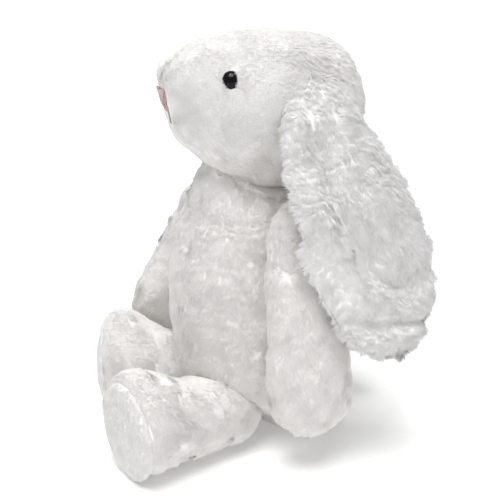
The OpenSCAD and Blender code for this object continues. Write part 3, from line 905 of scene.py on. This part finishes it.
for side, s in (("left", 1), ("right", -1)):
    outer = ear_skin(f"ear_{side}_plush", 0.2, 4.8, 0.975, [skin_ear], s)
    lining = ear_skin(f"ear_{side}_lining_plush", -2.0, 0.1, 0.93, [skin_ear], s)
    for o, node_name in ((outer, f"ear_{side}_outer"), (lining, f"ear_{side}_lining")):
        subdivide(o)
        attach(o, f"ear_{side}")
    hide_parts(f"ear_{side}_outer", f"ear_{side}_stitches")
    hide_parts(f"ear_{side}_lining")
    grow(f"ear_{side}_fur", f"ear_{side}", outer, lambda p, n, s=s: np.where(n[:, 0] * s < -0.4, 0.0, 6.5), ear_outer_look(s), COOL, 300 + s, long=False, clump=3.6, swirl=0.4)
    grow(f"ear_{side}_lining_fur", f"ear_{side}", lining, lambda p, n, s=s: np.where(n[:, 0] * s > 0.2, 0.0, 3.4),
         lambda p, n: dict(length=3.2, lift=24, comb=np.tile((0.0, 0.1, -1.0), (len(p), 1)), width=1.0, warm=0.35), SHORT, 320 + s, long=False, clump=3.2)

# ------------------------------------------------------------------ arms
SHOULDER = np.array((46.0, -10, 134))
ARM = [
    [28.0, 70.3, -10, 5, 7], [29.5, 70.5, -10.6, 9, 13], [34, 70.9, -12, 11.3, 18.3], [44, 71.2, -13, 12, 21.6], [57, 70.3, -13, 12, 22],
    [73, 67.8, -13, 11.7, 22], [90, 63.8, -13, 11.2, 21], [106, 59.3, -13.5, 10.8, 20], [120, 54.3, -13, 10.4, 18],
    [131, 50.6, -12, 9.6, 16.5], [139, 48.3, -11.5, 8.6, 14.5], [146, 46.6, -11, 6.8, 11.5], [150.5, 45.6, -11, 3.8, 6]]


def arm_points(p, s, inverse=False):
    """Left-arm points to either arm's place. The right arm is swung forward 33 degrees."""
    if s > 0:
        return p
    c, q = math.cos(math.radians(33)), math.sin(math.radians(33))
    if inverse:
        v = p * (-1, 1, 1) - SHOULDER
        return np.stack([v[:, 0], v[:, 1] * c - v[:, 2] * q, v[:, 1] * q + v[:, 2] * c], 1) + SHOULDER
    v = p - SHOULDER
    return (np.stack([v[:, 0], v[:, 1] * c + v[:, 2] * q, -v[:, 1] * q + v[:, 2] * c], 1) + SHOULDER) * (-1, 1, 1)


def arm_dirs(v, s):
    if s > 0:
        return v
    c, q = math.cos(math.radians(33)), math.sin(math.radians(33))
    return np.stack([v[:, 0], v[:, 1] * c + v[:, 2] * q, -v[:, 1] * q + v[:, 2] * c], 1) * (-1, 1, 1)


def arm_relief(p):
    d = crease(p, [(84, -24, 112), (76, -34, 107), (64, -36, 104)], 3.0, 1.8)
    d += crease(p, [(84, -6, 60), (84, 2, 48), (80, 6, 36)], 3.5, 1.4)
    d += bump(p, (84, -16, 46), (8, 14, 16), 1.2)
    return 1.8 + d + 0.7 * waves(p, 26, 51) + 0.22 * waves(p, 11, 52) + 0.08 * waves(p, 7, 53)


for side, s in (("left", 1), ("right", -1)):
    rows = curve_rows(ARM, 34)
    arm = loft(f"arm_{side}_plush", np.array([ellipse_ring(r[1], r[2], r[3], r[4], r[0], 40, 2.1) for r in rows]), [skin_body], cap=0.1)
    inflate(arm, 2.5, 3.0, 16, pinned=lambda p: p[:, 2] > 147)
    displace(arm, arm_relief)
    if s < 0:
        co = get_co(arm)
        up = np.clip((co[:, 2] - 62) / 56, 0, 1) * np.clip((160 - co[:, 2]) / 22, 0, 1)
        co[:, 1] -= 13.0 * up * np.clip((-6 - co[:, 1]) / 14, 0, 1)
        co[:, 2] -= 6.5 * np.clip((72 - co[:, 2]) / 44, 0, 1)
        set_co(arm, co)
    set_co(arm, arm_points(get_co(arm), s))
    if s < 0:
        arm.data.flip_normals()
    subdivide(arm)
    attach(arm, f"arm_{side}")
    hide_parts(f"arm_{side}_cover", f"arm_{side}_stuffing", f"arm_{side}_stitches")

    def arm_look(p, n, s=s):
        q = arm_points(p, s, True)
        paw = np.clip((46 - q[:, 2]) / 16, 0, 1)
        comb = arm_dirs(np.tile((0.1, -0.1, -1.0), (len(p), 1)), s)
        inner = n[:, 0] * s < -0.3
        return dict(length=np.where(inner, 3.6, 5.0 + 1.2 * paw), lift=18, comb=comb, width=1.0, warm=0.3, cool=0.10 + 0.1 * paw, dark=0.28, messy=0.7, grab=0.6)

    grow(f"arm_{side}_fur", f"arm_{side}", arm, lambda p, n, s=s: np.where(n[:, 0] * s < -0.3, 3.6, 5.4), arm_look, IVORY, 400 + s, long=False, clump=3.6, swirl=0.4)

# ------------------------------------------------------------------ legs and feet
HIP = np.array((29.0, -50, 0))
FOOT = 31.5 / 31
LEG = [
    [-18.0, 5, 5], [-16, 9.5, 8], [-11.5, 15, 12.5], [-5, 19, 15.8], [4, 21.6, 17.7], [18, 23.2, 19.2], [31, 23.8, 21.0],
    [42, 24.6, 23.8], [51, 25.6, 26.2], [58, 26.2, 27.4], [63, 26.2, 27.4], [66.5, 25.2, 26.4], [68.2, 23.0, 24.0], [68.8, 20.0, 21.0]]
SPLAY = math.radians(19)


def leg_place(p, s):
    """Leg points (x across, y back, z up, from the hip) to the row frame."""
    c, q = math.cos(SPLAY), math.sin(SPLAY)
    out = np.stack([p[:, 0] * c - p[:, 1] * q, p[:, 0] * q + p[:, 1] * c, p[:, 2]], 1) + HIP
    return out * (s, 1, 1)


def leg_local(p, s):
    v = p * (s, 1, 1) - HIP
    c, q = math.cos(SPLAY), math.sin(SPLAY)
    return np.stack([v[:, 0] * c + v[:, 1] * q, -v[:, 0] * q + v[:, 1] * c, v[:, 2]], 1)


def rest_on_floor(p, height=1.0, soft=4.0):
    """Flattens what is lowest, as cloth does where it carries weight."""
    z = p[:, 2]
    q = p.copy()
    low = z < height + soft
    q[low, 2] = np.maximum(height, height + soft * np.clip((z[low] - height + soft * 0.5) / (soft * 1.5), 0, 1) ** 1.6)
    return q


for side, s, reach in (("left", 1, 1.0), ("right", -1, 0.92)):
    rings = []
    for d, w, h in curve_rows(LEG, 36):
        zc = 22.0 if d < 0 else 0.4 + (h + 4.2) * FOOT
        zc = 22.0 + (zc - 22.0) * min(1.0, max(0.0, d / 6.0)) if d < 6 else zc
        b = np.linspace(0, 2 * math.pi, 44, endpoint=False)
        dd = d * reach if d > 0 else d
        rings.append(np.stack([w * FOOT * np.cos(b), np.full(44, -dd), zc + h * FOOT * np.sin(b)], 1))
    leg = loft(f"leg_{side}_plush", np.array(rings), [skin_body], cap=0.05)
    inflate(leg, 2.0, 2.5, 14, pinned=lambda p, reach=reach: (p[:, 1] > 14) | (p[:, 1] < -66 * reach))

    def leg_relief(p, reach=reach):
        d = crease(p, [(-20, -30 * reach, 34), (0, -33 * reach, 45), (22, -31 * reach, 36)], 3.2, 0.6 + 8 * (1 - reach))
        d += crease(p, [(-20, -38 * reach, 44), (4, -40 * reach, 50), (24, -37 * reach, 40)], 2.6, 0.4 + 6 * (1 - reach))
        end = np.clip((p[:, 1] + 69.5 * reach) / 5, 0, 1)
        return (1.7 + d + 0.5 * waves(p, 24, 61) + 0.12 * waves(p, 10, 62)) * np.clip((p[:, 2] - 2) / 8, 0, 1) * end - 1.0 * (1 - end)

    displace(leg, leg_relief)
    set_co(leg, leg_place(rest_on_floor(get_co(leg)), s))
    if s < 0:
        leg.data.flip_normals()
    subdivide(leg)
    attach(leg, f"leg_{side}")
    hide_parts(f"leg_{side}_cover", f"leg_{side}_stuffing", f"leg_{side}_stitches")

    # sole: a short-pile panel, domed, its edge drawn in at the seam
    sole_rings = []
    for k, (g, out) in enumerate([(0.95, 3.4), (1.03, 2.6), (1.06, 1.3), (1.06, -0.1), (1.02, -1.5), (0.92, -2.6), (0.77, -3.5), (0.56, -4.1), (0.3, -4.5), (0.1, -4.6)]):
        b = np.linspace(0, 2 * math.pi, 44, endpoint=False)
        sole_rings.append(np.stack([24.4 * FOOT * g * np.cos(b), np.full(44, -68.0 * reach + out), 0.4 + 28.2 * FOOT + 26.0 * FOOT * g * np.sin(b)], 1))
    sole = loft(f"foot_{side}_sole_plush", np.array(sole_rings), [skin_head], cap=0.02)
    displace(sole, lambda p: 0.35 * waves(p, 14, 71))
    set_co(sole, leg_place(rest_on_floor(get_co(sole), 1.4), s))
    if s < 0:
        sole.data.flip_normals()
    subdivide(sole)
    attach(sole, f"leg_{side}")
    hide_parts(f"foot_{side}_sole")

    def leg_look(p, n, s=s, reach=reach):
        q = leg_local(p, s)
        low = np.clip((26 - q[:, 2]) / 18, 0, 1)
        toe = np.clip((-q[:, 1] - 56 * reach) / 8, 0, 1)
        c, sn = math.cos(SPLAY), math.sin(SPLAY)
        comb = np.stack([s * (0.25 * np.clip(q[:, 0] / 14, -1, 1) + 0.35 * sn), -(0.35 + 0.9 * np.clip(n[:, 2], 0, 1) ** 2) * c, np.full(len(p), -0.8)], 1)
        under = n[:, 2] < -0.7
        return dict(length=np.where(under, 3.2, 4.8 + 1.6 * low - 1.4 * toe), lift=18 - 4 * under, comb=comb, width=1.0, warm=0.3, cool=0.1 + 0.12 * low, dark=0.2 + 0.1 * low, messy=0.5, grab=0.3)

    def leg_density(p, n, s=s, reach=reach):
        q = leg_local(p, s)
        d = np.full(len(p), 5.4)
        d[(n[:, 2] < -0.7) & (q[:, 2] < 3)] = 0.9
        d[q[:, 1] < -67.2 * reach] = 0
        d[q[:, 1] > 8] = 2.0
        return d

    grow(f"leg_{side}_fur", f"leg_{side}", leg, leg_density, leg_look, IVORY, 500 + s, long=False, clump=3.8, swirl=0.45)

    def sole_look(p, n, s=s):
        q = leg_local(p, s)
        comb = np.stack([0 * q[:, 0], 0 * q[:, 0], -np.ones(len(p))], 1)
        return dict(length=2.2, lift=24, comb=comb, width=0.62, warm=0.25, cool=0.05, dark=0.15, messy=0.7)

    grow(f"foot_{side}_sole_fur", f"leg_{side}", sole, lambda p, n, s=s, reach=reach: np.where(leg_local(p, s)[:, 1] > -64.6 * reach, 0.0, 6.5), sole_look, SHORT, 520 + s, long=False, clump=2.8)

# ------------------------------------------------------------------ hidden pieces that stay as the frame has them
inner = {"seat_pellet_pouch": fabric("pouch_weave", (0.6, 0.58, 0.54), (0.82, 0.8, 0.76), 1400, 0.5), "seat_pellets": principled("pellet_plastic", (0.82, 0.82, 0.80), 0.45),
         "eye_washer_left": principled("washer_plastic", (0.8, 0.8, 0.78), 0.5)}
inner["eye_washer_right"] = inner["eye_washer_left"]
for node_name, m in inner.items():
    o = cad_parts[node_name]
    if len(o.material_slots):
        for ms in o.material_slots:
            ms.material = m
    else:
        o.data.materials.append(m)
seam = []
for i in range(6):  # ladder stitches that close the back of the seat
    z0 = 13 + 4.2 * i
    pts = [np.array((x, np.interp(z0, [5, 16, 36], [31.2, 34.6, 36.0]) + 0.9 * math.cos(x / 2.6), z0 + 0.35 * x * (-1) ** i)) for x in np.linspace(-2.8, 2.8, 9)]
    seam.append(tube(pts, [0.45] * 9, twist=0.9))
seam = tubes("seat_closing_thread", seam, [sewing])
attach(seam, "torso")
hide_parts("seat_closing_stitches")

# ------------------------------------------------------------------ floor, light, camera
floor_mat = bpy.data.materials.new("studio_floor")
floor_mat.use_nodes = True
fb = floor_mat.node_tree.nodes["Principled BSDF"]
fb.inputs["Base Color"].default_value = (0.93, 0.93, 0.93, 1)
fb.inputs["Roughness"].default_value = 0.9
fb.inputs["Specular IOR Level"].default_value = 0.1
fb.inputs["Emission Color"].default_value = (1, 1, 1, 1)
fb.inputs["Emission Strength"].default_value = 0.16
floor = new_object("studio_floor", [(-20000, -20000, 0), (20000, -20000, 0), (20000, 20000, 0), (-20000, 20000, 0)], [(0, 1, 2, 3)], [floor_mat], smooth=False)

world = bpy.data.worlds.new("studio")
bpy.context.scene.world = world
world.use_nodes = True
world.node_tree.nodes["Background"].inputs["Color"].default_value = (1.0, 1.0, 1.0, 1)
world.node_tree.nodes["Background"].inputs["Strength"].default_value = 0.5


def softbox(name, at, aim, size, power, colour=(1, 1, 1)):
    data = bpy.data.lights.new(name, "AREA")
    data.shape = "RECTANGLE"
    data.size, data.size_y = size
    data.energy = power
    data.color = colour
    ob = bpy.data.objects.new(name, data)
    bpy.context.scene.collection.objects.link(ob)
    ob.location = at
    ob.rotation_mode = "QUATERNION"
    ob.rotation_quaternion = (Vector(aim) - Vector(at)).to_track_quat("-Z", "Y")
    return ob


softbox("top", (0.06, -0.22, 1.45), (0, -0.02, 0.15), (0.07, 0.07), 1.3)
sun = bpy.data.lights.new("overhead", "SUN")
sun.energy = 2.38
sun.angle = math.radians(38)
sun_ob = bpy.data.objects.new("overhead", sun)
bpy.context.scene.collection.objects.link(sun_ob)
sun_ob.rotation_mode = "QUATERNION"
sun_ob.rotation_quaternion = Vector((-0.24, 0.16, -1.0)).to_track_quat("-Z", "Y")

cam_data = bpy.data.cameras.new("view")
cam_data.sensor_width = 36
cam_data.lens = 36 * 840 / 500
cam = bpy.data.objects.new("view", cam_data)
bpy.context.scene.collection.objects.link(cam)
az, el = math.radians(72), math.radians(18)
back = Vector((math.sin(az) * math.cos(el), -math.cos(az) * math.cos(el), math.sin(el)))
cam.location = Vector((0, -0.025, 0.112)) + back * 0.520
cam.rotation_mode = "QUATERNION"
cam.rotation_quaternion = (-back).to_track_quat("-Z", "Y")
cam_data.clip_start, cam_data.clip_end = 0.01, 60
bpy.context.scene.camera = cam
bpy.context.scene.view_settings.view_transform = "Standard"

print("TUFTS", sum(t[1] for t in TUFTS), sum(t[2] for t in TUFTS), TUFTS)
